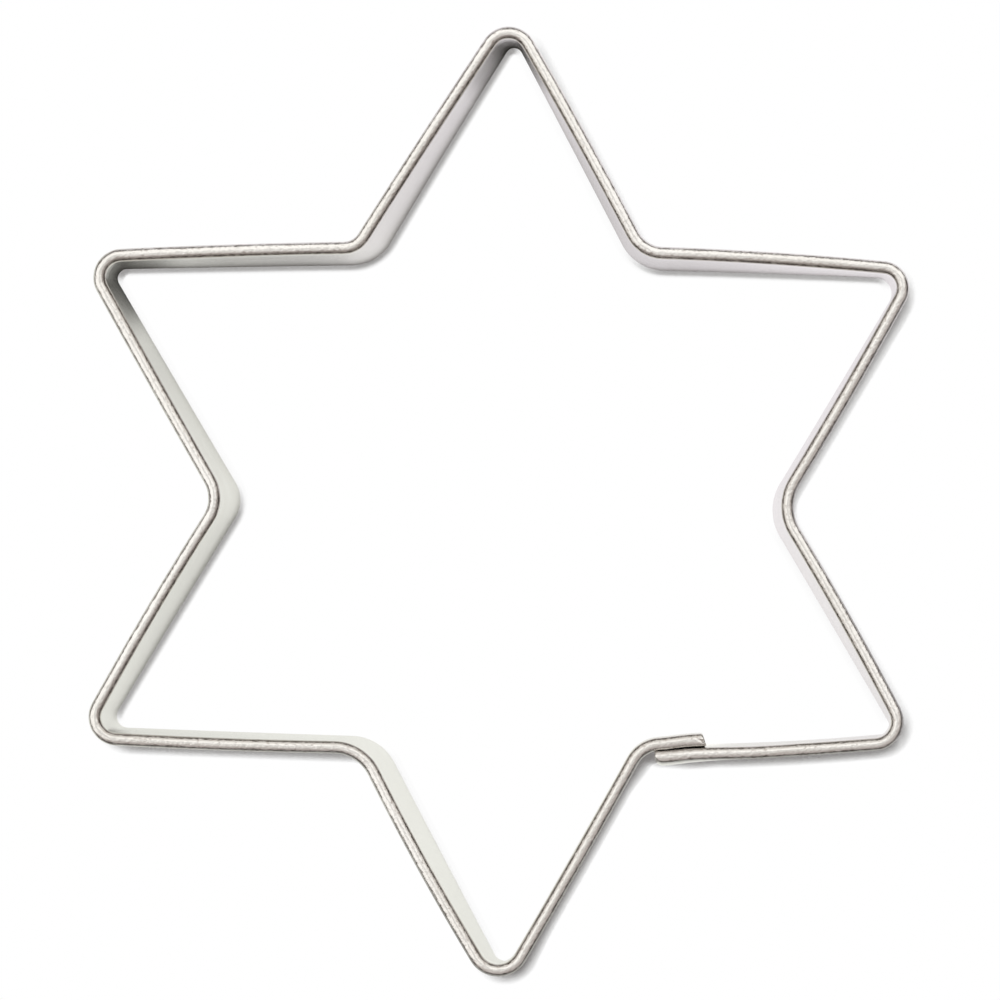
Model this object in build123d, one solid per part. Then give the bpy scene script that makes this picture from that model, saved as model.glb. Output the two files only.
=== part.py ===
from build123d import *
import math
import os

# Six-pointed star cookie cutter, millimetres, Z up.
# One long strip of thin sheet stands on edge and is bent round into a star.
# Its upper edge is folded outward into a rounded hem, the rim that the hand presses on.
# Its lower edge, at Z zero, is the plain cutting edge.
# The strip's two ends lap at the lower right inner corner, where a column of spot welds holds them.
# Every outline here is the inside face of the sheet, the face that gives the dough its shape,
# and it runs anticlockwise from the outer end of the lap, round the star, to the inner end.

# Star: from the centre to where two straight sides would meet.
# The wall leans out towards the tips, so they reach further at the cutting edge than at the rim.
rim_tip_reach = 34.6
notch_reach = 20.3
tip_flare = 0.8
point_count = 6

# Bends, as radii of the inside face
rim_tip_bend = 1.2
rim_notch_bend = 3.2
edge_tip_bend = 0.85
edge_notch_bend = 3.5

# Sheet and hem
height = 20.0
sheet = 0.3
hem_width = 0.94
hem_depth = 2.2

# Lap: the outer end starts here on the rim, and stands out a little more at the cutting edge
lap_end_x = 11.59
lap_end_y = -18.38
lap_end_splay = 0.2
lap_length = 3.7
lap_gap = 0.03
lap_opening = 0.05
rim_lap_bend = 2.9
edge_lap_bend = 2.4

# Under the hem the inner end steps outward over this height, and from there down sheet lies on sheet
lap_step_height = 2.8

# Spot welds, evenly spaced up the middle of the lap, between its edge and its step
weld_diameter = 2.0
weld_above_edge = 3.2
weld_below_step = 3.0
weld_names = ("spot_weld_lower", "spot_weld_middle", "spot_weld_upper")
cut_overrun = 1.0

# The place of the inner end's corner depends on its own turn, so it is found in this many passes
corner_passes = 5

# The strip is bent by hand tools, so no corner is where a true star has it.
# One row for each corner from the lower right tip, anticlockwise to the bottom tip:
# how far the corner is moved in X and in Y, and how far the side after it bows outward,
# as shares of the rim's tip reach, then its bend radius as a share of the usual one.
rim_shares = (
    (-0.0113, 0.0014, 0.0056, 1.03),
    (-0.0058, -0.0104, 0.0045, 1.27),
    (-0.0014, -0.0205, 0.0051, 0.88),
    (0.0043, 0.0081, 0.0038, 0.95),
    (0.0237, 0.0150, 0.0021, 1.0),
    (-0.0009, 0.0185, 0.0026, 0.70),
    (0.0072, 0.0090, 0.0013, 0.98),
    (0.0113, 0.0038, 0.0056, 1.02),
    (-0.0023, 0.0101, 0.0038, 0.98),
    (0.0107, -0.0020, 0.0077, 1.19),
    (0.0003, -0.0228, 0.0021, 1.19),
)
edge_shares = (
    (-0.0162, -0.0003, 0.0007, 0.80),
    (-0.0075, -0.0159, 0.0009, 1.13),
    (0.0017, -0.0139, 0.0019, 1.42),
    (-0.0003, 0.0101, 0.0007, 1.06),
    (0.0246, 0.0095, 0.0024, 0.78),
    (0.0124, 0.0220, 0.0007, 1.01),
    (0.0090, 0.0095, 0.0007, 0.87),
    (0.0121, 0.0055, 0.0010, 0.75),
    (0.0040, 0.0118, 0.0007, 1.04),
    (0.0199, -0.0133, 0.0007, 1.06),
    (0.0040, -0.0286, 0.0007, 1.19),
)
rim_lap_bow_share = 0.0024
edge_lap_bow_share = 0.0074

# Worked out from the sizes above
edge_tip_reach = rim_tip_reach + tip_flare
hem_radius = hem_width / 2
hem_foot = height - hem_depth
lap_seat = hem_foot - lap_step_height
lap_stack = 2 * sheet + lap_gap
weld_pitch = (lap_seat - weld_below_step - weld_above_edge) / (len(weld_names) - 1)
weld_levels = [weld_above_edge + weld_pitch * number for number in range(len(weld_names))]


def blend(low, high, share):
    return low + (high - low) * share


def left_of(direction):
    return Vector(-direction.Y, direction.X, 0)


def star_corners(tip_reach, tip_bend, notch_bend, shares):
    """Corners of the bent star from the lower right tip on: place, bow of the next side, bend radius."""
    corners = []
    for number, (x_share, y_share, bow_share, bend_share) in enumerate(shares):
        angle = math.radians(180 / point_count * (number - 1))
        is_tip = number % 2 == 0
        reach = tip_reach if is_tip else notch_reach
        bend = tip_bend if is_tip else notch_bend
        true_place = Vector(reach * math.cos(angle), reach * math.sin(angle), 0)
        place = true_place + Vector(x_share, y_share, 0) * rim_tip_reach
        corners.append((place, bow_share * rim_tip_reach, bend_share * bend))
    return corners


def side_circle(start, end, bow):
    """Circle that a side follows, bowed outward between its corners: centre and radius."""
    chord = end - start
    radius = (chord.length ** 2 / 4 + bow ** 2) / (2 * bow)
    return (start + end) / 2 + left_of(chord.normalized()) * (radius - bow), radius


def beside(circle, start, along, inward):
    """Point that lies a way along a side from its start, moved inward from the side's circle."""
    centre, radius = circle
    spoke = (start - centre).rotate(Axis.Z, math.degrees(along / radius))
    return centre + spoke * ((radius - inward) / radius)


def touching_point(circle, bend_centre):
    """Where a side's circle touches the bend with this centre."""
    centre, radius = circle
    return centre + (bend_centre - centre).normalized() * radius


def centre_of_bend(before, after, corner, outward):
    """Centre that lies this far outside the circles of both sides, at their corner."""
    before_reach = before[1] + outward
    after_reach = after[1] + outward
    apart = after[0] - before[0]
    along = (before_reach ** 2 - after_reach ** 2 + apart.length ** 2) / (2 * apart.length)
    across = math.sqrt(before_reach ** 2 - along ** 2)
    foot = before[0] + apart.normalized() * along
    step = left_of(apart.normalized()) * across
    return min((foot + step, foot - step), key=lambda centre: (centre - corner).length)


def level_outline(share):
    """Arcs of the inside face: centre, start, end, and 1 where outward is away from the centre, or -1.

    Share is 0 under the hem and 1 at the cutting edge. Sides and bends take turns.
    """
    rim = star_corners(rim_tip_reach, rim_tip_bend, rim_notch_bend, rim_shares)
    edge = star_corners(edge_tip_reach, edge_tip_bend, edge_notch_bend, edge_shares)
    places = []
    bows = []
    bends = []
    for (rim_place, rim_bow, rim_bend), (edge_place, edge_bow, edge_bend) in zip(rim, edge):
        places.append(blend(rim_place, edge_place, share))
        bows.append(blend(rim_bow, edge_bow, share))
        bends.append(blend(rim_bend, edge_bend, share))

    outer_end = Vector(lap_end_x, lap_end_y - lap_end_splay * share, 0)
    outer_bow = blend(rim_lap_bow_share, edge_lap_bow_share, share) * rim_tip_reach
    lap_circle = side_circle(outer_end, places[0], outer_bow)

    # The inner end lies hem against hem at the rim, and sheet against sheet from the seat down
    seated = min(share * hem_foot / lap_step_height, 1.0)
    step = blend(hem_width + lap_gap, sheet + lap_gap, seated)
    opening = blend(lap_opening, 0, seated)
    inner_end = beside(lap_circle, outer_end, lap_length, step + opening)

    # The outer end reaches a little into the inner end's bend, where about half the gap is left
    lap_bend = blend(rim_lap_bend, edge_lap_bend, share)
    reach = math.sqrt(lap_bend * lap_gap)
    along = left_of(outer_end - lap_circle[0])
    lap_corner = beside(lap_circle, outer_end, 0, step)
    for _ in range(corner_passes):
        turn = math.radians((lap_corner - places[-1]).get_angle(along))
        lead = lap_bend * math.tan(turn / 2) - reach
        lap_corner = beside(lap_circle, outer_end, -lead, step)
    inner_bow = (lead + lap_length) ** 2 / (8 * lap_circle[1])

    places = [outer_end, *places, lap_corner, inner_end]
    bows = [outer_bow, *bows, inner_bow]
    bends.append(lap_bend)
    circles = [side_circle(*side) for side in zip(places, places[1:], bows)]

    arcs = []
    start = outer_end
    for number, bend in enumerate(bends):
        before = circles[number]
        after = circles[number + 1]
        turn = -1 if number % 2 else 1
        centre = centre_of_bend(before, after, places[number + 1], -turn * bend)
        bend_start = touching_point(before, centre)
        bend_end = touching_point(after, centre)
        arcs.append((before[0], start, bend_start, 1))
        arcs.append((centre, bend_start, bend_end, turn))
        start = bend_end
    arcs.append((circles[-1][0], start, inner_end, 1))
    return arcs


def outline_edges(arcs, outward, level):
    """Edges of the outline on the face that lies this far outside the inside face, at a height."""
    edges = []
    for centre, start, end, turn in arcs:
        radius = (start - centre).length
        reach = radius + outward * turn
        directions = [start - centre, (start + end) / 2 - centre, end - centre]
        edges.append(ThreePointArc(*[centre + way.normalized() * reach + Vector(0, 0, level) for way in directions]))
    return edges


def wall_section(level):
    """Level slice through the sheet: inside face, outside face and the two cut ends."""
    arcs = level_outline(1 - level / hem_foot)
    inside = outline_edges(arcs, 0, level)
    outside = outline_edges(arcs, sheet, level)
    ends = [Line(inside[0] @ 0, outside[0] @ 0), Line(inside[-1] @ 1, outside[-1] @ 1)]
    return make_face([*inside, *outside, *ends])


def hem_section(path):
    """Folded hem, cut square across the start of the rim: X runs outward and Y runs up.

    Its back is round, and the narrow slot inside the fold ends flat.
    """
    start = path @ 0
    along = path % 0
    outward = left_of(along) * -1
    plane = Plane(origin=(start.X, start.Y, 0), x_dir=outward, z_dir=along * -1)
    spring = height - hem_radius
    profile = [
        Line((0, hem_foot), (0, spring)),
        ThreePointArc((0, spring), (hem_radius, height), (hem_width, spring)),
        Line((hem_width, spring), (hem_width, hem_foot)),
        Line((hem_width, hem_foot), (hem_width - sheet, hem_foot)),
        Line((hem_width - sheet, hem_foot), (hem_width - sheet, spring)),
        Line((hem_width - sheet, spring), (sheet, spring)),
        Line((sheet, spring), (sheet, hem_foot)),
        Line((sheet, hem_foot), (0, hem_foot)),
    ]
    return plane * make_face(profile)


def weld_axis(level):
    """Axis through the middle of the lap at a height under the step: from the inside face, pointing outward."""
    centre, start, _, _ = level_outline(1 - level / hem_foot)[0]
    middle = beside((centre, (start - centre).length), start, lap_length / 2, lap_stack - sheet)
    outward = (middle - centre).normalized()
    return Plane(origin=middle + Vector(0, 0, level), x_dir=left_of(outward), z_dir=outward)


def weld_core(level):
    """Cylinder through the whole lap at a weld, long enough to cut with."""
    core = Cylinder(weld_diameter / 2, lap_stack + 2 * cut_overrun, align=(Align.CENTER, Align.CENTER, Align.MIN))
    return weld_axis(level) * Pos(0, 0, -cut_overrun) * core


def cutter_strip():
    rim_path = Wire(outline_edges(level_outline(0), 0, 0))
    hem = sweep(hem_section(rim_path), path=rim_path)
    wall = loft([wall_section(level) for level in (hem_foot, lap_seat, 0)], ruled=True)
    strip = hem + wall
    for level in weld_levels:
        strip -= weld_core(level)
    return strip


def spot_weld(level):
    """Nugget that fills its seat through both sheets."""
    return weld_axis(level) * Cylinder(weld_diameter / 2, lap_stack, align=(Align.CENTER, Align.CENTER, Align.MIN))


os.makedirs("parts", exist_ok=True)

nodes = {"cutter_strip": cutter_strip()}
for name, level in zip(weld_names, weld_levels):
    nodes[name] = spot_weld(level)

# The origin is under the middle of the whole cutter's box, on the cutting edge
middle = nodes["cutter_strip"].bounding_box().center()
for name, shape in nodes.items():
    centred = Pos(-middle.X, -middle.Y, 0) * shape
    export_step(centred, f"parts/{name}.step")
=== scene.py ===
import math

import bpy
import numpy as np
from mathutils import Matrix, Vector
from mathutils.geometry import tessellate_polygon


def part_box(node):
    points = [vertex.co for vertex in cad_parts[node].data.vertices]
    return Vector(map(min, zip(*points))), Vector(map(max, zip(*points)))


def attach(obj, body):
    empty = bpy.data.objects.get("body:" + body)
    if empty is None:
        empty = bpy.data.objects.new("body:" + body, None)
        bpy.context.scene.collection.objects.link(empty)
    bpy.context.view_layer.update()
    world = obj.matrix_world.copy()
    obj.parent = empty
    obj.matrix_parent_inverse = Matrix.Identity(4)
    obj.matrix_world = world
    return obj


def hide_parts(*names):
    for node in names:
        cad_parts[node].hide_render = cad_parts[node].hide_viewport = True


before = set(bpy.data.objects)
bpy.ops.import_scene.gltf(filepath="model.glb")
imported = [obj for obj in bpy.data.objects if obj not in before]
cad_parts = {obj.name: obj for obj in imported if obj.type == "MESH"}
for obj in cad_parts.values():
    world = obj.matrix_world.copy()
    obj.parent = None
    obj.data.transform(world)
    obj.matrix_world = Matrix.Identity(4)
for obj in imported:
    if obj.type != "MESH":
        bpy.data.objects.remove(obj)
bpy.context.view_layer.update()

# A star cookie cutter: one hemmed strip of tinned sheet, bent into a star and spot-welded at its lap.
# The strip and the welds are built again here, finer than the CAD nodes that they replace.
# The sizes up to the next heading are the CAD model's own, in millimetres.
MM = 0.001

rim_tip_reach = 34.6
notch_reach = 20.3
tip_flare = 0.8
point_count = 6
rim_tip_bend = 1.2
rim_notch_bend = 3.2
edge_tip_bend = 0.85
edge_notch_bend = 3.5
height = 20.0
sheet = 0.3
hem_width = 0.94
hem_depth = 2.2
lap_end_x = 11.59
lap_end_y = -18.38
lap_end_splay = 0.2
lap_length = 3.7
lap_gap = 0.03
lap_opening = 0.05
rim_lap_bend = 2.9
edge_lap_bend = 2.4
lap_step_height = 2.8
weld_diameter = 2.0
weld_above_edge = 3.2
weld_below_step = 3.0
weld_names = ("spot_weld_lower", "spot_weld_middle", "spot_weld_upper")
corner_passes = 5

# One row for each corner from the lower right tip, anticlockwise to the bottom tip:
# shift in X, shift in Y and bow of the next side as shares of the tip reach, and bend radius as a share
rim_shares = (
    (-0.0113, 0.0014, 0.0056, 1.03),
    (-0.0058, -0.0104, 0.0045, 1.27),
    (-0.0014, -0.0205, 0.0051, 0.88),
    (0.0043, 0.0081, 0.0038, 0.95),
    (0.0237, 0.0150, 0.0021, 1.0),
    (-0.0009, 0.0185, 0.0026, 0.70),
    (0.0072, 0.0090, 0.0013, 0.98),
    (0.0113, 0.0038, 0.0056, 1.02),
    (-0.0023, 0.0101, 0.0038, 0.98),
    (0.0107, -0.0020, 0.0077, 1.19),
    (0.0003, -0.0228, 0.0021, 1.19),
)
edge_shares = (
    (-0.0162, -0.0003, 0.0007, 0.80),
    (-0.0075, -0.0159, 0.0009, 1.13),
    (0.0017, -0.0139, 0.0019, 1.42),
    (-0.0003, 0.0101, 0.0007, 1.06),
    (0.0246, 0.0095, 0.0024, 0.78),
    (0.0124, 0.0220, 0.0007, 1.01),
    (0.0090, 0.0095, 0.0007, 0.87),
    (0.0121, 0.0055, 0.0010, 0.75),
    (0.0040, 0.0118, 0.0007, 1.04),
    (0.0199, -0.0133, 0.0007, 1.06),
    (0.0040, -0.0286, 0.0007, 1.19),
)
rim_lap_bow_share = 0.0024
edge_lap_bow_share = 0.0074

edge_tip_reach = rim_tip_reach + tip_flare
hem_radius = hem_width / 2
hem_foot = height - hem_depth
spring = height - hem_radius
lap_seat = hem_foot - lap_step_height
lap_stack = 2 * sheet + lap_gap
weld_pitch = (lap_seat - weld_below_step - weld_above_edge) / (len(weld_names) - 1)
weld_levels = [weld_above_edge + weld_pitch * number for number in range(len(weld_names))]

# Mesh of the strip: steps along it, levels of its section's points, and rounding of its cut edges
side_step = 0.4
bend_step = math.radians(5)
end_steps = (0, 0.015, 0.04, 0.075, 0.12, 0.18, 0.25, 0.32, 0.4, 0.5, 0.62, 0.76, 0.92, 1.1)
wall_levels = (0.05, 0.5, 2, 4, 6, 8, 10, 12, 13.5, 15, 15.7, 16.4, 17.1, 17.8)
hem_levels = (18.3, 18.9, 19.3)
back_steps = 22
slot_steps = 8
edge_round = 0.05
strip_sharp_angle = math.radians(35)
uv_per_mm = 0.01

# Crown of the hem: 0 is a half round and 1 is flat. It varies along the strip, and is flatter at both ends.
crown_flat_share = 0.10
crown_wave_share = 0.07
crown_wave_lengths = (2.3, 3.1)
crown_wave_turn = 1
outer_end_flat_share = 0.25
outer_end_flat_reach = 3.4
inner_end_flat_share = 0.22
inner_end_flat_reach = 4.5

# Both ends of the strip: the rolled lip, how far the hem reaches over, and how it narrows
end_round = 0.13
end_overhang = 0.09
end_overhang_reach = 1.2
end_narrowing_share = 0.8

# Outer end of the strip: its corner in plan, and the flare of the hem's leg
outer_end_corner = 0.6
hem_flare = 0.26
hem_flare_power = 0.6
hem_flare_reach = 9.0

# Lean of the lap's two hems towards the inside of the star. The outer one's leaves out the very end.
lap_lean = 0.125
outer_lean_start = 3.0
outer_lean_reach = 5.0
outer_lean_loss_share = 0.85
inner_lean_start = 1.0
inner_lean_reach = 2.6

# Inner end of the strip: slanted cut, and the groove where it was pinched
inner_end_slant = 0.28
pinch_depth = 0.22
pinch_across = 0.5
pinch_slope = 0.4
pinch_width = 0.09
pinch_reach = 0.6

# Weld marks: dish of the electrode, the ring pressed up round it, and how far the mark lies below the sheet
weld_dish = 0.05
weld_ring = 0.02
weld_ring_place_share = 0.82
weld_ring_width_share = 0.09
weld_sink = 0.012
weld_rows = 14
weld_sides = 64
weld_sharp_angle = math.radians(50)
seat_overrun = 0.5

# Looks of the sheet. Noise scales are along and across the strip, for each 100 mm, and its spans are in
# millimetres from the spring of the hem. The bumps are in metres.
sheet_dull = (0.79, 0.772, 0.745)
sheet_bright = (0.83, 0.815, 0.795)
# Painted shade: the shoulder colour darkens the hem's inner shoulder, where the metal shows a dark band of
# reflection
shoulder_shade_colour = (0.33, 0.30, 0.27)
shoulder_shade_share = 0.57
shoulder_shade_span = (0.13, 0.50)
shoulder_shade_soft = 0.08
speck_colour = (0.37, 0.32, 0.29)
speck_share = 0.55
crown_speck_share = 0.15
crown_half_width = 0.15
rolling_scale = (12, 900)
mottle_scale = (270, 430)
patch_scale = (9, 14)
speck_scale = (330, 520)
patch_limits = (0.35, 0.65)
speck_limits = (0.54, 0.66)
grain_limits = (0.3, 0.7)
fold_soft = 0.1
sheet_roughness = (0.12, 0.2)
fold_roughness = 0.04
rolling_bump = 0.0000006
mottle_bump = 0.000040
mottle_wall_share = 0.15

# Looks of the welds
weld_grey = (0.60, 0.58, 0.55)
weld_dark = (0.52, 0.49, 0.46)
weld_straw = (0.42, 0.33, 0.22)
weld_roughness = (0.32, 0.45)
weld_grain_scale = 9000.0
weld_blotch_scale = 1400.0
weld_bump = 0.000006
weld_bump_share = 0.7
blotch_limits = (0.4, 0.6)
straw_place_shares = (0.55, 0.95)
straw_share = 0.75

# Direction of the light's side, seen from above: the shadows fall the other way, to the lower right
light_side = Vector((-0.5, 0.866, 0))

# The table: its size in millimetres, and how far it lies below the cutting edge in metres
table_radius = 3000.0
table_sides = 96
table_drop = 0.00001

# Painted contact shadow, in the table's glow, inside the star and around it: reach from the wall's foot in
# metres, the hidden shares at which it starts and is full, and the share of the far side that is taken off
inside_shadow = (0.0006, 0.18, 0.52, 0.85)
outside_shadow = (0.00164, 0.035, 0.10, 0.8)
shadow_colour = (0.22, 0.21, 0.205)
shadow_tilt = math.radians(60)
shadow_samples = 4

# Where the outside shadow reaches less far or further: place, inner and outer radius in metres, and share
shadow_changes = (
    ((0.0055, -0.0265, 0), 0.006, 0.014, 0.74),
    ((-0.0200, -0.0180, 0), 0.008, 0.014, 1.1),
    ((0.0125, -0.0190, 0), 0.002, 0.0045, 1.16),
)

# The table as the metal shows it, in colours and levels, with painted shade darker in the corners. The
# corners are the ends of the upper points.
table_colour = (0.85, 0.85, 0.85)
lower_left_tint = (0.99, 1.0, 0.94)
upper_right_tint = (1.0, 0.965, 1.0)
corner_shade_tint = (1.0, 0.985, 0.84)
corner_shade_colour = (0.12, 0.115, 0.08)
corner_shade_reach = 0.004
corner_shade_hidden = (0.45, 0.65)
upper_left = Vector((-0.8, 0.6, 0))
upper_right = Vector((1, 1, 0))
own_light_share = 0.82

# Painted darker and lighter spots of it, painted shade and light that the metal reflects: place, inner and
# outer radius in metres, and level
painted_table_spots = (
    ((-0.0185, 0.0165, 0), 0.002, 0.0100, 0.76),
    ((-0.0287, 0.0172, 0), 0.001, 0.0048, 0.40),
    ((0.0002, 0.0330, 0), 0.001, 0.0036, 0.60),
    ((0.0115, 0.0215, 0), 0.003, 0.0150, 0.80),
    ((-0.0225, -0.0080, 0), 0.002, 0.0120, 0.9),
    ((0.0130, -0.0240, 0), 0.003, 0.0080, 2.3),
)

# Its slower changes, painted shade and tint: the places between which each happens, in metres from the middle
# of the star, and the levels there
corner_shade_rise = (0.004, 0.024, 0.0, 0.97)
upper_left_fall = (0.0, 0.036, 1.0, 0.86)
outside_rise = (-0.03, -0.004, 0.4, 1.0)
far_table_fall = (0.075, 0.13, 1.0, 0.3)
tint_turn = (-0.02, 0.03)

# Light of the world: angles in degrees between which it changes, from overhead or towards the lower right
light_edge = (63, 79)
near_side_turn = (5, 21)
far_side_turn = (20, 66)
camera_patch_edge = (8, 19)
camera_patch_level = 0.64
light_colour = (1.0, 0.985, 0.955)
near_side_colour = (0.50, 0.465, 0.445)
far_side_colour = (0.34, 0.31, 0.295)
room_colour = (0.13, 0.113, 0.1)
room_lower_right_colour = (0.04, 0.034, 0.03)
light_level = 1.25

# Camera, from the perspective in the photograph: metres, and the lens in millimetres
camera_place = Vector((0.0090, -0.0021, 0.438))
camera_target = Vector((0.000137, 0.000225, 0.020))
camera_lens = 204.55
camera_sensor = 36.0
camera_nearest = 0.01
camera_furthest = 10


def blend(low, high, share):
    return low + (high - low) * share


def smooth(share):
    share = min(max(share, 0.0), 1.0)
    return share * share * (3 - 2 * share)


# Outline of the inside face. Points on a level are complex numbers, X + iY, in millimetres.

def star_corners(tip_reach, tip_bend, notch_bend, shares):
    """Each corner's place, the bow of the side after it, and its bend radius."""
    corners = []
    for number, (x_share, y_share, bow_share, bend_share) in enumerate(shares):
        angle = math.pi / point_count * (number - 1)
        is_tip = number % 2 == 0
        reach = tip_reach if is_tip else notch_reach
        bend = tip_bend if is_tip else notch_bend
        place = reach * complex(math.cos(angle), math.sin(angle))
        place += complex(x_share, y_share) * rim_tip_reach
        corners.append((place, bow_share * rim_tip_reach, bend_share * bend))
    return corners


def side_circle(start, end, bow):
    """Centre and radius of the circle that a bowed side follows."""
    chord = end - start
    radius = (abs(chord) ** 2 / 4 + bow ** 2) / (2 * bow)
    return (start + end) / 2 + 1j * chord / abs(chord) * (radius - bow), radius


def beside(circle, start, along, inward):
    """Point a length along a circle from a start, and a distance in from it."""
    centre, radius = circle
    turned = (start - centre) * complex(math.cos(along / radius), math.sin(along / radius))
    return centre + turned * ((radius - inward) / radius)


def touching_point(circle, bend_centre):
    centre, radius = circle
    return centre + (bend_centre - centre) / abs(bend_centre - centre) * radius


def centre_of_bend(before, after, corner, outward):
    """Centre of the bend between two sides' circles, which lies a distance outward of both."""
    before_reach = before[1] + outward
    after_reach = after[1] + outward
    apart = after[0] - before[0]
    along = (before_reach ** 2 - after_reach ** 2 + abs(apart) ** 2) / (2 * abs(apart))
    across = math.sqrt(before_reach ** 2 - along ** 2)
    unit = apart / abs(apart)
    foot = before[0] + unit * along
    centres = (foot + 1j * unit * across, foot - 1j * unit * across)
    return min(centres, key=lambda centre: abs(centre - corner))


def angle_between(one, other):
    ratio = other / one
    return abs(math.atan2(ratio.imag, ratio.real))


def level_arcs(share):
    """Arcs of the inside face at a share of the way from the hem's foot down to the edge, or 0 above it:
    centre, start, end, and 1 where outward is away from the centre, or -1."""
    rim = star_corners(rim_tip_reach, rim_tip_bend, rim_notch_bend, rim_shares)
    edge = star_corners(edge_tip_reach, edge_tip_bend, edge_notch_bend, edge_shares)
    places, bows, bends = ([blend(a[item], b[item], share) for a, b in zip(rim, edge)] for item in range(3))

    outer_end = complex(lap_end_x, lap_end_y - lap_end_splay * share)
    outer_bow = blend(rim_lap_bow_share, edge_lap_bow_share, share) * rim_tip_reach
    lap_circle = side_circle(outer_end, places[0], outer_bow)
    seated = smooth(share * hem_foot / lap_step_height)
    step = blend(hem_width + lap_gap, sheet + lap_gap, seated)
    opening = blend(lap_opening, 0, seated)
    inner_end = beside(lap_circle, outer_end, lap_length, step + opening)

    lap_bend = blend(rim_lap_bend, edge_lap_bend, share)
    reach = math.sqrt(lap_bend * lap_gap)
    along = 1j * (outer_end - lap_circle[0])
    lap_corner = beside(lap_circle, outer_end, 0, step)
    for _ in range(corner_passes):
        turn = angle_between(lap_corner - places[-1], along)
        lead = lap_bend * math.tan(turn / 2) - reach
        lap_corner = beside(lap_circle, outer_end, -lead, step)
    inner_bow = (lead + lap_length) ** 2 / (8 * lap_circle[1])

    places = [outer_end, *places, lap_corner, inner_end]
    bows = [outer_bow, *bows, inner_bow]
    bends = [*bends, lap_bend]
    circles = [side_circle(*side) for side in zip(places, places[1:], bows)]
    arcs = []
    start = outer_end
    for number, bend in enumerate(bends):
        before, after = circles[number], circles[number + 1]
        turn = -1 if number % 2 else 1
        centre = centre_of_bend(before, after, places[number + 1], -turn * bend)
        bend_start = touching_point(before, centre)
        bend_end = touching_point(after, centre)
        arcs.append((before[0], start, bend_start, 1))
        arcs.append((centre, bend_start, bend_end, turn))
        start = bend_end
    arcs.append((circles[-1][0], start, inner_end, 1))
    return arcs


def arc_sweep(arc):
    centre, start, end, _ = arc
    ratio = (end - centre) / (start - centre)
    return math.atan2(ratio.imag, ratio.real)


def arc_length(arc):
    return abs(arc_sweep(arc)) * abs(arc[1] - arc[0])


def arc_shares(arcs):
    """Places of the mesh's stations along each arc, as shares of it: closer round bends and at the ends."""
    shares = []
    for number, arc in enumerate(arcs):
        is_bend = number % 2 == 1
        count = math.ceil(abs(arc_sweep(arc)) / bend_step if is_bend else arc_length(arc) / side_step)
        shares.append(np.arange(count) / count)
    near_end = np.array(end_steps) / arc_length(arcs[0])
    shares[0] = np.concatenate([near_end, shares[0][shares[0] > near_end[-1]]])
    near_end = np.array(end_steps) / arc_length(arcs[-1])
    shares[-1] = np.concatenate([shares[-1][shares[-1] < 1 - near_end[-1]], 1 - near_end[::-1]])
    return shares


def stations(arcs, shares):
    """Points along a level's outline, and the outward direction at each."""
    points, outward = [], []
    for arc, places in zip(arcs, shares):
        centre, start, _, turn = arc
        spokes = (start - centre) * np.exp(1j * arc_sweep(arc) * places)
        points.append(centre + spokes)
        outward.append(turn * spokes / abs(start - centre))
    return np.concatenate(points), np.concatenate(outward)


# The strip

def profile():
    """Closed section of the sheet, as points: outward offset from the inside face, and height."""
    turns = np.linspace(math.pi, 0, back_steps + 1)
    back = [(hem_radius + hem_radius * math.cos(t), spring + hem_radius * math.sin(t)) for t in turns]
    slot_radius = hem_radius - sheet
    turns = np.linspace(0, math.pi, slot_steps + 1)
    slot = [(hem_radius + slot_radius * math.cos(t), spring + slot_radius * math.sin(t)) for t in turns]
    section = [(0.0, z) for z in (*wall_levels, *hem_levels)]
    section += back
    section += [(hem_width, z) for z in reversed(hem_levels)]
    section += [(hem_width, hem_foot + edge_round), (hem_width - edge_round, hem_foot)]
    section += [(hem_width - sheet + edge_round, hem_foot), (hem_width - sheet, hem_foot + edge_round)]
    section += [(hem_width - sheet, z) for z in hem_levels[:2]]
    section += slot
    section += [(sheet, z) for z in reversed((*wall_levels, *hem_levels[:2]))]
    section += [(sheet - edge_round, 0.0), (edge_round, 0.0)]
    return section


def quarter_round(distance, radius):
    """How far a rounded end draws in at a distance from the end."""
    reach = np.clip(radius - distance, 0, radius)
    return radius - np.sqrt(radius ** 2 - reach ** 2)


def fade(distance, reach):
    """1 at the end, 0 at the reach and beyond."""
    share = np.clip(1 - distance / reach, 0, 1)
    return share * share * (3 - 2 * share)


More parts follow.
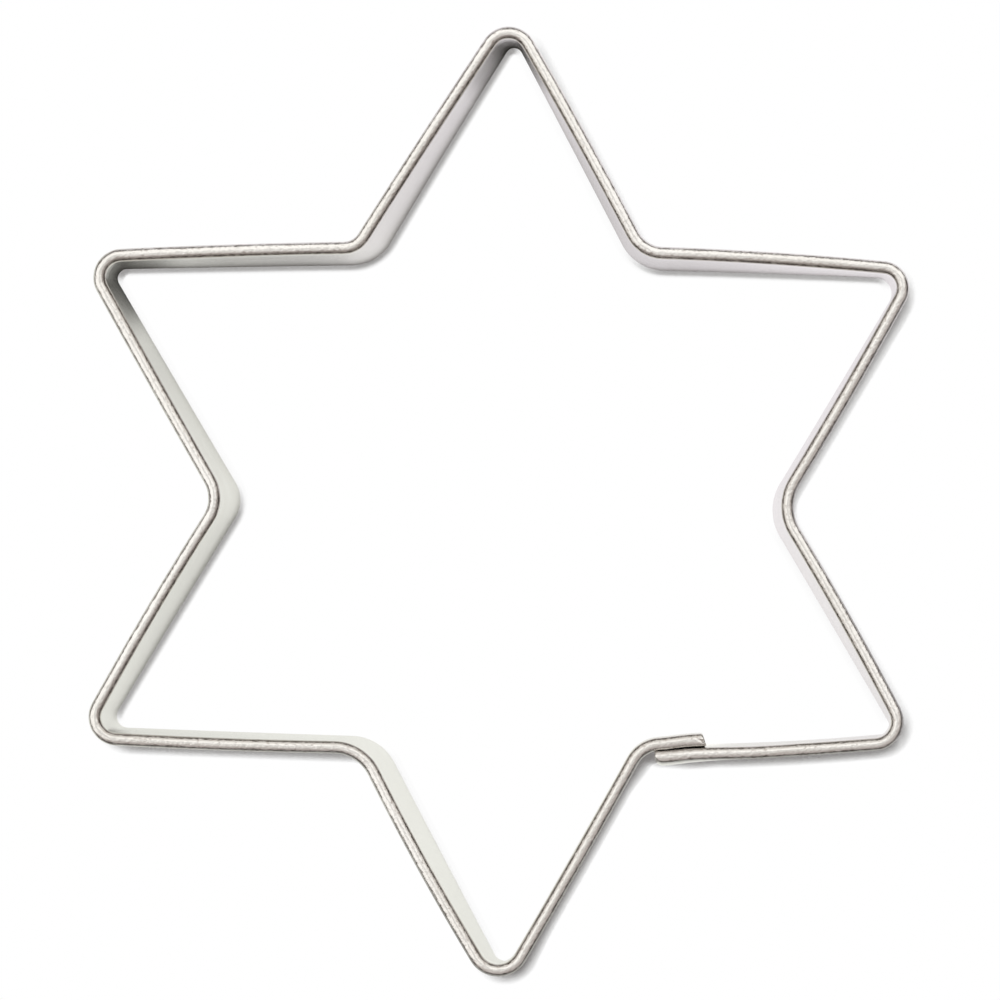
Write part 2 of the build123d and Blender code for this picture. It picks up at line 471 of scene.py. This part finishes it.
def shape_hem(offset, z, from_outer, from_inner):
    """Offset, height and shift along the strip of the hem's points at one place across the sheet,
    for each station's distance from the outer and the inner end."""
    is_back = z > spring
    hem_share = smooth((z - lap_seat) / lap_step_height)
    beyond_wall = max(offset - sheet, 0) / (hem_width - sheet)
    below_spring = max(spring - z, 0) / (spring - hem_foot)
    wave = np.sin(from_outer / crown_wave_lengths[0])
    wave = wave * np.sin(from_outer / crown_wave_lengths[1] + crown_wave_turn)
    flat = crown_flat_share + crown_wave_share * wave
    flat = flat + outer_end_flat_share * fade(from_outer, outer_end_flat_reach)
    flat = flat + inner_end_flat_share * fade(from_inner, inner_end_flat_reach)
    if is_back:
        z = spring + hem_radius * ((z - spring) / hem_radius) ** (1 - flat)

    # The leg flares towards the outer end, and the lap's hems lean
    flare = fade(from_outer, hem_flare_reach)
    offset = offset + hem_flare * beyond_wall * below_spring ** hem_flare_power * flare
    outer_lean = fade(np.maximum(from_outer - outer_lean_start, 0), outer_lean_reach)
    outer_lean = outer_lean * (1 - outer_lean_loss_share * fade(from_outer, outer_lean_start))
    inner_lean = fade(np.maximum(from_inner - inner_lean_start, 0), inner_lean_reach)
    offset = offset - lap_lean * (outer_lean + inner_lean) * hem_share

    # The outer end's corner is rounded in plan, and both ends roll over
    drawn_in = quarter_round(from_outer, outer_end_corner)
    offset = offset - drawn_in * beyond_wall
    rolled = quarter_round(from_outer, end_round) + quarter_round(from_inner, end_round)
    middle = hem_radius - drawn_in / 2
    offset = offset + (middle - offset) * rolled / hem_radius * end_narrowing_share * hem_share
    z = z - rolled * is_back

    # The ends reach over the wall below, and the inner end is cut at a slant and pinched
    along = -end_overhang * fade(from_outer, end_overhang_reach) * hem_share
    slant = end_overhang - inner_end_slant * (hem_width - offset)
    along = along + slant * fade(from_inner, end_overhang_reach) * hem_share
    if is_back:
        from_groove = (offset - pinch_across + pinch_slope * from_inner) / pinch_width
        z = z - pinch_depth * np.exp(-from_groove ** 2) * fade(from_inner, pinch_reach)
    return offset, z, along


def strip_shape():
    """Vertex places of the strip, station by station, with the length along the rim at each station."""
    section = profile()
    shares = arc_shares(level_arcs(0))
    levels = {}
    for _, z in section:
        share = max(0.0, 1 - z / hem_foot)
        if share not in levels:
            levels[share] = stations(level_arcs(share), shares)
    rim_points, _ = levels[0.0]
    length = np.concatenate([[0], np.cumsum(abs(np.diff(rim_points)))])
    places = np.zeros((len(rim_points), len(section), 3))
    for column, (offset, z) in enumerate(section):
        points, outward = levels[max(0.0, 1 - z / hem_foot)]
        along = 0
        if z > lap_seat:
            offset, z, along = shape_hem(offset, z, length, length[-1] - length)
        moved = points + outward * (offset + 1j * along)
        places[:, column, 0] = moved.real
        places[:, column, 1] = moved.imag
        places[:, column, 2] = z
    return places, length, section


def strip_faces(rows, columns):
    """Quads between neighbouring stations, and one face over each end."""
    faces = []
    for row in range(rows - 1):
        base = row * columns
        for column in range(columns):
            following = (column + 1) % columns
            near_side = (base + column, base + following)
            far_side = (base + columns + following, base + columns + column)
            faces.append(near_side + far_side)
    faces.append(tuple(range(columns)))
    faces.append(tuple(reversed(range((rows - 1) * columns, rows * columns))))
    return faces


def make_strip(material):
    """The strip's object, and how far its outline was moved to lie where the CAD node does."""
    places, length, section = strip_shape()
    rows, columns = places.shape[:2]
    low, high = (np.array(corner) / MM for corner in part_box("cutter_strip"))
    middle = (places.reshape(-1, 3).min(0) + places.reshape(-1, 3).max(0)) / 2
    shift = (low + high) / 2 - middle
    shift[2] = 0
    places = (places + shift) * MM

    mesh = bpy.data.meshes.new("cutter_strip_sheet")
    mesh.from_pydata(places.reshape(-1, 3).tolist(), [], strip_faces(rows, columns))
    mesh.validate()

    # The UV map has lengths along and across the sheet
    across = np.zeros(columns)
    for column in range(1, columns):
        across[column] = across[column - 1] + math.dist(section[column], section[column - 1])
    layer = mesh.uv_layers.new(name="strip")
    for polygon in mesh.polygons:
        corners = [divmod(mesh.loops[loop].vertex_index, columns) for loop in polygon.loop_indices]
        is_last_quad = len(corners) == 4 and any(column == columns - 1 for _, column in corners)
        for loop, (row, column) in zip(polygon.loop_indices, corners):
            v = across[-1] + edge_round if is_last_quad and column == 0 else across[column]
            layer.data[loop].uv = (length[row] * uv_per_mm, v * uv_per_mm)
    mesh.shade_smooth()
    mesh.set_sharp_from_angle(angle=strip_sharp_angle)
    mesh.materials.append(material)
    strip = bpy.data.objects.new("strip_sheet", mesh)
    bpy.context.collection.objects.link(strip)
    return strip, shift


# Spot welds

def weld_axis(level, shift):
    """Middle of a weld on the lap's inside face, and the outward direction, in millimetres."""
    centre, start, _, _ = level_arcs(1 - level / hem_foot)[0]
    middle = beside((centre, abs(start - centre)), start, lap_length / 2, lap_stack - sheet)
    outward = (middle - centre) / abs(middle - centre)
    place = Vector((middle.real + shift[0], middle.imag + shift[1], level))
    return place, Vector((outward.real, outward.imag, 0))


def turned_mesh(name, profile_points):
    """Solid of revolution about Z from (radius, height) points that start and end on the axis."""
    angles = np.linspace(0, 2 * math.pi, weld_sides, False)
    vertices, faces = [], []
    for radius, z in profile_points[1:-1]:
        vertices += [(radius * math.cos(a), radius * math.sin(a), z) for a in angles]
    last_ring = (len(profile_points) - 3) * weld_sides
    bottom, top = len(vertices), len(vertices) + 1
    vertices += [(0, 0, profile_points[0][1]), (0, 0, profile_points[-1][1])]
    for step in range(weld_sides):
        following = (step + 1) % weld_sides
        for ring in range(0, last_ring, weld_sides):
            a, b = ring + step, ring + following
            faces.append((a, b, b + weld_sides, a + weld_sides))
        faces.append((following, step, bottom))
        faces.append((last_ring + step, last_ring + following, top))
    mesh = bpy.data.meshes.new(name)
    mesh.from_pydata([(x * MM, y * MM, z * MM) for x, y, z in vertices], [], faces)
    return mesh


def weld_profile():
    """Half section of a nugget: a shallow dish with a raised lip in each face."""
    radius = weld_diameter / 2
    shares = np.linspace(0, 1, weld_rows)
    ring = weld_ring * np.exp(-((shares - weld_ring_place_share) / weld_ring_width_share) ** 2)
    dish = -weld_dish * (1 - shares ** 2) ** 2 + ring - weld_sink
    lower = [(radius * s, -d) for s, d in zip(shares, dish)]
    upper = [(radius * s, lap_stack + d) for s, d in zip(shares, dish)]
    return lower + upper[::-1]


def weld_matrix(level, shift):
    """Places a solid of revolution on a weld's axis, with its Z outward."""
    middle, outward = weld_axis(level, shift)
    upright = Vector((0, 0, 1))
    turn = Matrix((upright.cross(outward), upright, outward)).transposed().to_4x4()
    return Matrix.Translation(middle * MM) @ turn


def make_weld(name, level, shift, material):
    mesh = turned_mesh(name + "_nugget", weld_profile())
    layer = mesh.uv_layers.new(name="from_axis")
    for loop in mesh.loops:
        from_axis = mesh.vertices[loop.vertex_index].co.xy.length / (weld_diameter / 2 * MM)
        layer.data[loop.index].uv = (from_axis, 0)
    mesh.transform(weld_matrix(level, shift))
    mesh.update()
    mesh.shade_smooth()
    mesh.set_sharp_from_angle(angle=weld_sharp_angle)
    mesh.materials.append(material)
    weld = bpy.data.objects.new(name + "_nugget", mesh)
    bpy.context.collection.objects.link(weld)
    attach(weld, "root")
    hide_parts(name)


def cut_weld_seats(strip, shift):
    """Holes through both sheets of the lap, which the nuggets fill."""
    radius = weld_diameter / 2
    low = -seat_overrun
    high = lap_stack + seat_overrun
    for level in weld_levels:
        mesh = turned_mesh("weld_seat", [(0, low), (radius, low), (radius, high), (0, high)])
        mesh.transform(weld_matrix(level, shift))
        cutter = bpy.data.objects.new("weld_seat", mesh)
        bpy.context.collection.objects.link(cutter)
        modifier = strip.modifiers.new("seat", "BOOLEAN")
        modifier.object = cutter
        modifier.operation = "DIFFERENCE"
        modifier.solver = "EXACT"
        bpy.context.view_layer.update()
        shaped = bpy.data.meshes.new_from_object(strip.evaluated_get(bpy.context.evaluated_depsgraph_get()))
        strip.modifiers.clear()
        strip.data = shaped
        bpy.data.objects.remove(cutter)


# Nodes

class Nodes:
    """Adds nodes to a node tree, and sets or links their inputs in the same call."""

    def __init__(self, tree):
        self.tree = tree
        tree.nodes.clear()

    def put(self, value, socket):
        if isinstance(value, bpy.types.NodeSocket):
            self.tree.links.new(value, socket)
        else:
            socket.default_value = value

    def add(self, kind, inputs=None, **settings):
        node = self.tree.nodes.new("ShaderNode" + kind)
        for name, value in settings.items():
            setattr(node, name, value)
        for name, value in (inputs or {}).items():
            self.put(value, node.inputs[name])
        return node

    def maths(self, operation, *values):
        return self.add("Math", dict(enumerate(values)), operation=operation).outputs[0]

    def vector_maths(self, operation, *values):
        """For an operation on vectors whose result is one number."""
        return self.add("VectorMath", dict(enumerate(values)), operation=operation).outputs["Value"]

    def ramp(self, value, low, high, to_low=0.0, to_high=1.0):
        inputs = {"Value": value, "From Min": low, "From Max": high, "To Min": to_low, "To Max": to_high}
        return self.add("MapRange", inputs, interpolation_type="SMOOTHSTEP").outputs[0]

    def mix_colour(self, share, one, other):
        one, other = (colour if isinstance(colour, bpy.types.NodeSocket) else (*colour, 1)
                      for colour in (one, other))
        return self.add("Mix", {0: share, 6: one, 7: other}, data_type="RGBA").outputs[2]

    def metal(self, colour, roughness, bump):
        inputs = {"Base Color": colour, "Metallic": 1.0, "Roughness": roughness, "Normal": bump.outputs[0]}
        shader = self.add("BsdfPrincipled", inputs)
        self.add("OutputMaterial", {"Surface": shader.outputs[0]})


def new_material(name):
    material = bpy.data.materials.new(name)
    material.use_nodes = True
    return material, Nodes(material.node_tree)


def tinned_sheet():
    """Bright tinned sheet: rolling lines along the strip, a mottled skin dulled where it was folded, and
    painted shade on the hem's inner shoulder.
    """
    material, nodes = new_material("tinned_sheet")
    strip_uv = nodes.add("TexCoord").outputs["UV"]
    across = nodes.add("SeparateXYZ", {"Vector": strip_uv}).outputs[1]

    def noise(scale, detail):
        mapped = nodes.add("Mapping", {"Vector": strip_uv, "Scale": (*scale, 1)}).outputs[0]
        return nodes.add("TexNoise", {"Vector": mapped, "Scale": 1.0, "Detail": detail}).outputs[0]

    def band(low, high, soft):
        """1 between two places across the sheet, in millimetres from the foot of the inside face."""
        rise = nodes.ramp(across, (low - soft) * uv_per_mm, (low + soft) * uv_per_mm)
        fall = nodes.ramp(across, (high - soft) * uv_per_mm, (high + soft) * uv_per_mm, 1.0, 0.0)
        return nodes.maths("MULTIPLY", rise, fall)

    rolling = noise(rolling_scale, 3.0)
    mottle = noise(mottle_scale, 3.0)
    patches = noise(patch_scale, 2.0)
    specks = nodes.ramp(noise(speck_scale, 2.0), *speck_limits)
    crown = spring + math.pi * hem_radius / 2
    fold = band(spring + fold_soft, spring + math.pi * hem_radius - fold_soft, fold_soft)
    shoulder_shade = band(spring + shoulder_shade_span[0], spring + shoulder_shade_span[1], shoulder_shade_soft)
    on_crown = band(crown - crown_half_width, crown + crown_half_width, fold_soft)

    colour = nodes.mix_colour(nodes.ramp(patches, *patch_limits), sheet_dull, sheet_bright)
    # Painted shade on the hem's inner shoulder
    colour = nodes.mix_colour(nodes.maths("MULTIPLY", shoulder_shade, shoulder_shade_share), colour, shoulder_shade_colour)
    speckled = nodes.maths("MULTIPLY", specks, fold)
    speckled = nodes.maths("MULTIPLY", speckled, nodes.ramp(on_crown, 0, 1, speck_share, crown_speck_share))
    colour = nodes.mix_colour(speckled, colour, speck_colour)
    roughness = nodes.ramp(rolling, *grain_limits, *sheet_roughness)
    roughness = nodes.maths("ADD", roughness, nodes.maths("MULTIPLY", fold, fold_roughness))
    bump = nodes.add("Bump", {"Height": rolling, "Distance": rolling_bump, "Strength": 1.0})
    strength = nodes.ramp(fold, 0, 1, mottle_wall_share, 1.0)
    bump = nodes.add("Bump", {"Height": mottle, "Distance": mottle_bump, "Strength": strength,
                              "Normal": bump.outputs[0]})
    nodes.metal(colour, roughness, bump)
    return material


def weld_mark():
    """Electrode mark: duller than the sheet, with a straw heat tint round its lip."""
    material, nodes = new_material("weld_mark")
    coordinates = nodes.add("TexCoord").outputs
    place = coordinates["Object"]
    from_axis = nodes.add("SeparateXYZ", {"Vector": coordinates["UV"]}).outputs[0]
    grain = nodes.add("TexNoise", {"Vector": place, "Scale": weld_grain_scale, "Detail": 3.0}).outputs[0]
    blotch = nodes.add("TexNoise", {"Vector": place, "Scale": weld_blotch_scale, "Detail": 2.0}).outputs[0]
    colour = nodes.mix_colour(nodes.ramp(blotch, *blotch_limits), weld_grey, weld_dark)
    straw = nodes.ramp(from_axis, *straw_place_shares, 0.0, straw_share)
    colour = nodes.mix_colour(straw, colour, weld_straw)
    roughness = nodes.ramp(grain, *grain_limits, *weld_roughness)
    bump = nodes.add("Bump", {"Height": grain, "Distance": weld_bump, "Strength": weld_bump_share})
    nodes.metal(colour, roughness, bump)
    return material


def floor_material(name, shadow, is_outside):
    """White table, glowing for the camera and the metal, with the cutter's contact shadow painted into its
    glow. The shadow
    falls to the lower right: what the metal hides of the sky on the light's side, less a share of what it
    hides on the other side."""
    material, nodes = new_material(name)
    shadow_reach, shadow_start, shadow_full, far_side_share = shadow
    place = nodes.add("NewGeometry").outputs["Position"]

    def hidden(direction, reach):
        """Share of the sky that the metal hides, weighted towards a direction."""
        normal = nodes.add("CombineXYZ", dict(enumerate(direction))).outputs[0]
        inputs = {"Distance": reach, "Normal": normal}
        node = nodes.add("AmbientOcclusion", inputs, samples=shadow_samples)
        return nodes.maths("SUBTRACT", 1.0, node.outputs["AO"])

    def near(spot, inner, outer, level):
        """A level within a radius of a spot on the table, which blends into 1 at a larger one."""
        return nodes.ramp(nodes.vector_maths("DISTANCE", place, spot), inner, outer, level, 1.0)

    def along(direction):
        """How far a point of the table lies in a direction from the middle of the star."""
        return nodes.vector_maths("DOT_PRODUCT", place, direction)

    if is_outside:
        for change in shadow_changes:
            shadow_reach = nodes.maths("MULTIPLY", shadow_reach, near(*change))
    overhead = Vector((0, 0, math.cos(shadow_tilt)))
    to_light = light_side * math.sin(shadow_tilt)
    far_side = nodes.maths("MULTIPLY", hidden(overhead - to_light, shadow_reach), far_side_share)
    one_sided = nodes.maths("SUBTRACT", hidden(overhead + to_light, shadow_reach), far_side)
    # Painted shadow: the glow that the camera sees is darkened by it
    shade = nodes.mix_colour(nodes.ramp(one_sided, shadow_start, shadow_full), (1.0, 1.0, 1.0), shadow_colour)
    seen = nodes.add("Emission", {"Color": shade, "Strength": 1.0})

    # What the metal shows of the table: a glow with painted shade in the corners, painted falls and rises,
    # and painted spots
    to_top = along(light_side)
    corner_shade = nodes.ramp(hidden((0, 0, 1), corner_shade_reach), *corner_shade_hidden)
    corner_shade = nodes.maths("MULTIPLY", corner_shade, nodes.ramp(to_top, *corner_shade_rise))
    level = nodes.ramp(along(upper_left), *upper_left_fall)
    level = nodes.maths("MULTIPLY", level, nodes.maths("SUBTRACT", 1.0, corner_shade))
    if is_outside:
        level = nodes.maths("MULTIPLY", level, nodes.ramp(to_top, *outside_rise))
    for spot in painted_table_spots:
        level = nodes.maths("MULTIPLY", level, near(*spot))
    from_middle = nodes.vector_maths("LENGTH", place)
    level = nodes.maths("MULTIPLY", level, nodes.ramp(from_middle, *far_table_fall))
    tint = nodes.ramp(along(upper_right), *tint_turn)
    tint = nodes.mix_colour(tint, lower_left_tint, upper_right_tint)
    tint = nodes.mix_colour(corner_shade, tint, corner_shade_tint)
    shade = nodes.add("VectorMath", {0: shade, 1: tint}, operation="MULTIPLY").outputs[0]
    own_light = nodes.add("Emission", {"Color": shade, "Strength": level})
    # The diffuse colour is painted darker in the corners too, as shade
    lit = nodes.add("BsdfDiffuse", {"Color": nodes.mix_colour(corner_shade, table_colour, corner_shade_colour)})
    by_metal = nodes.add("MixShader", {0: own_light_share, 1: lit.outputs[0], 2: own_light.outputs[0]})

    path = nodes.add("LightPath").outputs
    indirect = nodes.add("MixShader", {0: path["Is Glossy Ray"], 1: lit.outputs[0], 2: by_metal.outputs[0]})
    by_camera = nodes.maths("MAXIMUM", path["Is Camera Ray"], path["Is Transmission Ray"])
    shader = nodes.add("MixShader", {0: by_camera, 1: indirect.outputs[0], 2: seen.outputs[0]})
    nodes.add("OutputMaterial", {"Surface": shader.outputs[0]})
    return material


# Stage

def make_floor(shift):
    """The table in two pieces that meet under the sheet, because the shadow reaches further outside."""
    angles = np.linspace(0, 2 * math.pi, table_sides, False)
    round_rim = [table_radius * complex(math.cos(a), math.sin(a)) for a in angles]
    arcs = level_arcs(1)
    foot, outward = stations(arcs, arc_shares(arcs))
    star = list(foot + outward * sheet / 2 + complex(shift[0], shift[1]))
    tables = (
        ("table_inside", [star], inside_shadow, False),
        ("table_around", [round_rim, star], outside_shadow, True),
    )
    for name, loops, shadow, is_outside in tables:
        loops = [[Vector((p.real * MM, p.imag * MM, -table_drop)) for p in loop] for loop in loops]
        mesh = bpy.data.meshes.new(name)
        mesh.from_pydata([v for loop in loops for v in loop], [], tessellate_polygon(loops))
        mesh.materials.append(floor_material(name, shadow, is_outside))
        floor = bpy.data.objects.new(name, mesh)
        bpy.context.collection.objects.link(floor)


def make_world():
    """Soft light overhead, greyer to the lower right, with the camera's own dark patch and a dim room."""
    world = bpy.data.worlds.new("studio")
    bpy.context.scene.world = world
    world.use_nodes = True
    nodes = Nodes(world.node_tree)

    def turn(angle, degrees, to_low=0.0, to_high=1.0):
        return nodes.ramp(angle, *(math.radians(limit) for limit in degrees), to_low, to_high)

    direction = nodes.add("TexCoord").outputs["Generated"]
    z = nodes.add("SeparateXYZ", {"Vector": direction}).outputs[2]
    from_zenith = nodes.maths("ARCCOSINE", z)
    towards = nodes.maths("ARCTAN2", nodes.vector_maths("DOT_PRODUCT", direction, -light_side), z)
    near_side = turn(towards, near_side_turn)
    light = nodes.mix_colour(near_side, light_colour, near_side_colour)
    light = nodes.mix_colour(turn(towards, far_side_turn), light, far_side_colour)
    room = nodes.mix_colour(near_side, room_colour, room_lower_right_colour)
    colour = nodes.mix_colour(turn(from_zenith, light_edge, 1.0, 0.0), room, light)
    camera_patch = turn(from_zenith, camera_patch_edge, camera_patch_level, 1.0)
    strength = nodes.maths("MULTIPLY", camera_patch, light_level)
    background = nodes.add("Background", {"Color": colour, "Strength": strength})
    nodes.add("OutputWorld", {"Surface": background.outputs[0]})


def make_camera():
    data = bpy.data.cameras.new("camera")
    data.lens = camera_lens
    data.sensor_width = camera_sensor
    data.clip_start = camera_nearest
    data.clip_end = camera_furthest
    camera = bpy.data.objects.new("camera", data)
    back = (camera_place - camera_target).normalized()
    right = Vector((0, 1, 0)).cross(back).normalized()
    up = back.cross(right)
    turn = Matrix((right, up, back)).transposed().to_4x4()
    camera.matrix_world = Matrix.Translation(camera_place) @ turn
    bpy.context.collection.objects.link(camera)
    bpy.context.scene.camera = camera


make_camera()
make_world()
bpy.context.scene.view_settings.view_transform = "Standard"

strip, outline_shift = make_strip(tinned_sheet())
make_floor(outline_shift)
cut_weld_seats(strip, outline_shift)
weld_material = weld_mark()
for name, level in zip(weld_names, weld_levels):
    make_weld(name, level, outline_shift, weld_material)
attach(strip, "root")
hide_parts("cutter_strip")
